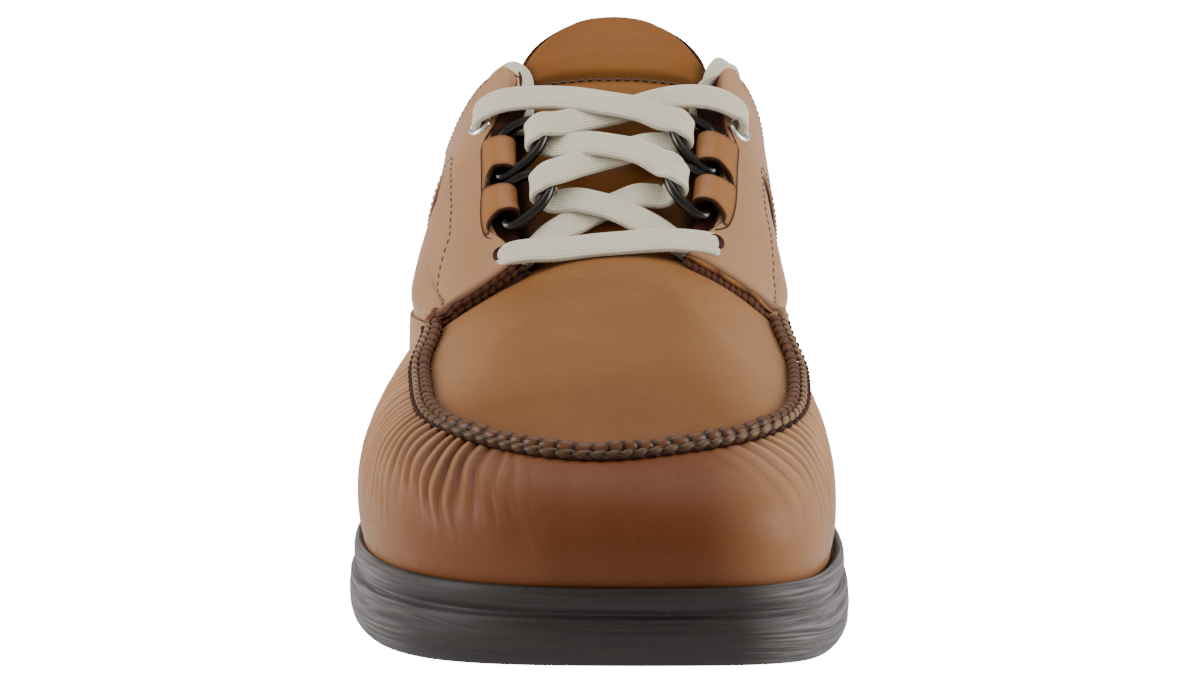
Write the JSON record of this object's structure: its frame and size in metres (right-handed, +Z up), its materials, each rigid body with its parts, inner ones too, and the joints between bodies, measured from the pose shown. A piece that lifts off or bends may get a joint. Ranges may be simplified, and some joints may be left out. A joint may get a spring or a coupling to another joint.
{
  "type": "lace-up moc-toe shoe",
  "caption": "Low leather moc-toe shoe for the right foot, with open quarters, ring lacing, a flat cotton lace, a padded tongue and a one-piece rubber sole.",
  "frame": {"origin": "below the middle of the shoe, on the plane it stands on", "axes": "+Z up, -Y towards the toe, +X towards the medial side"},
  "size_m": [0.1118, 0.3, 0.1172],
  "materials": {
    "tan_leather": "smooth, softly polished",
    "sole_rubber": "satin, finely grained",
    "insole_leather": "matte",
    "dark_metal": "dark, polished",
    "silver_metal": "polished",
    "lace_cotton": "woven"
  },
  "bodies": {
    "root": {"sole": "sole_rubber", "insole": "insole_leather", "upper": "tan_leather", "tongue": "tan_leather", "moc_seam": "tan_leather", "quarter_lateral": "tan_leather", "quarter_medial": "tan_leather", "eyelet_lateral": "silver_metal", "eyelet_medial": "silver_metal", "tab_lateral_lower": "tan_leather", "tab_lateral_upper": "tan_leather", "tab_medial_lower": "tan_leather", "tab_medial_upper": "tan_leather", "ring_lateral_lower": "dark_metal", "ring_lateral_upper": "dark_metal", "ring_medial_lower": "dark_metal", "ring_medial_upper": "dark_metal", "lace_bar": "lace_cotton", "lace_cross_low": "lace_cotton", "lace_cross_mid": "lace_cotton", "lace_cross_top": "lace_cotton", "lace_loop_lateral": "lace_cotton", "lace_loop_medial": "lace_cotton"}
  },
  "joints": []
}
